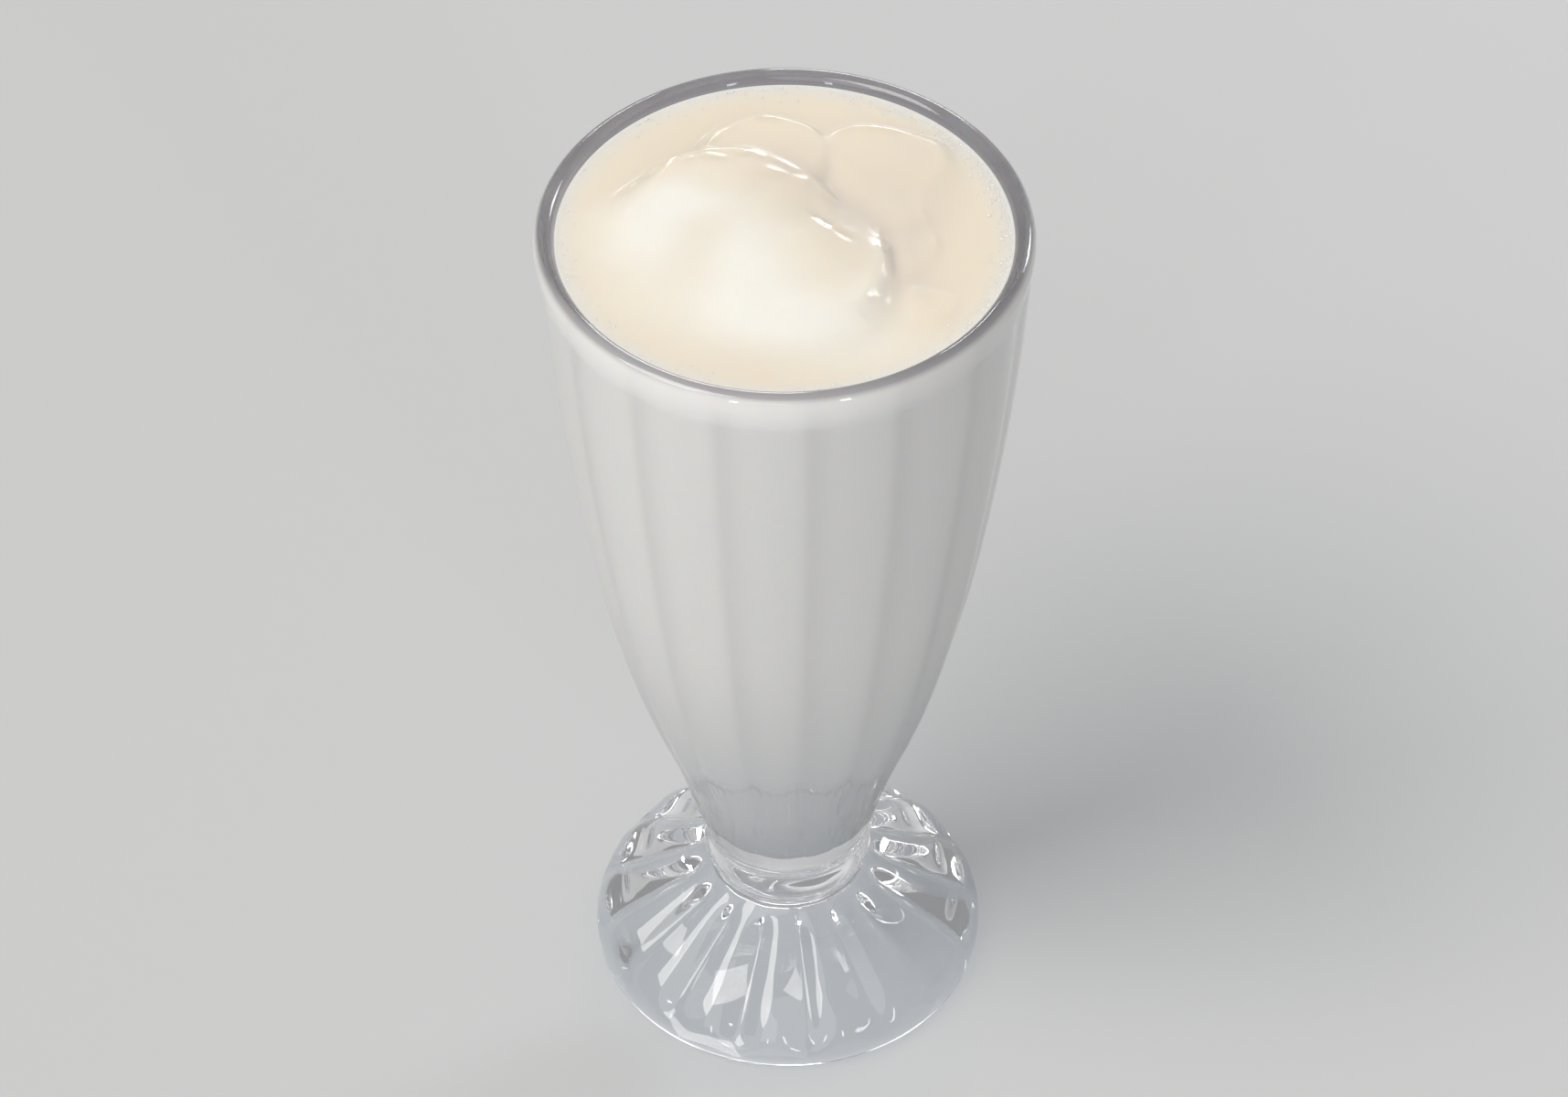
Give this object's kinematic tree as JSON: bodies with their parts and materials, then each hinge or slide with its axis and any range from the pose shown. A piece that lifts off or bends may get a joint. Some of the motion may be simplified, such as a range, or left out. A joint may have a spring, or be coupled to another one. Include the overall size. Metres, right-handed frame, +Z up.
{
  "type": "milkshake in a glass",
  "caption": "Vanilla milkshake filling a tall clear fluted glass with a collar and a domed, lobed foot; creamy lumpy top.",
  "frame": {"origin": "centre of the ring on which the foot rests, on the table plane", "axes": "+Z up along the glass's axis; -Y is the front, the side the camera faces; +X to its right"},
  "size_m": [0.0878, 0.0878, 0.1921],
  "materials": {
    "glass": "clear pressed glass, polished, thick walls",
    "milkshake": "wet glossy cream colour, opaque"
  },
  "bodies": {
    "root": {"glass": "glass", "milkshake": "milkshake"}
  },
  "joints": []
}
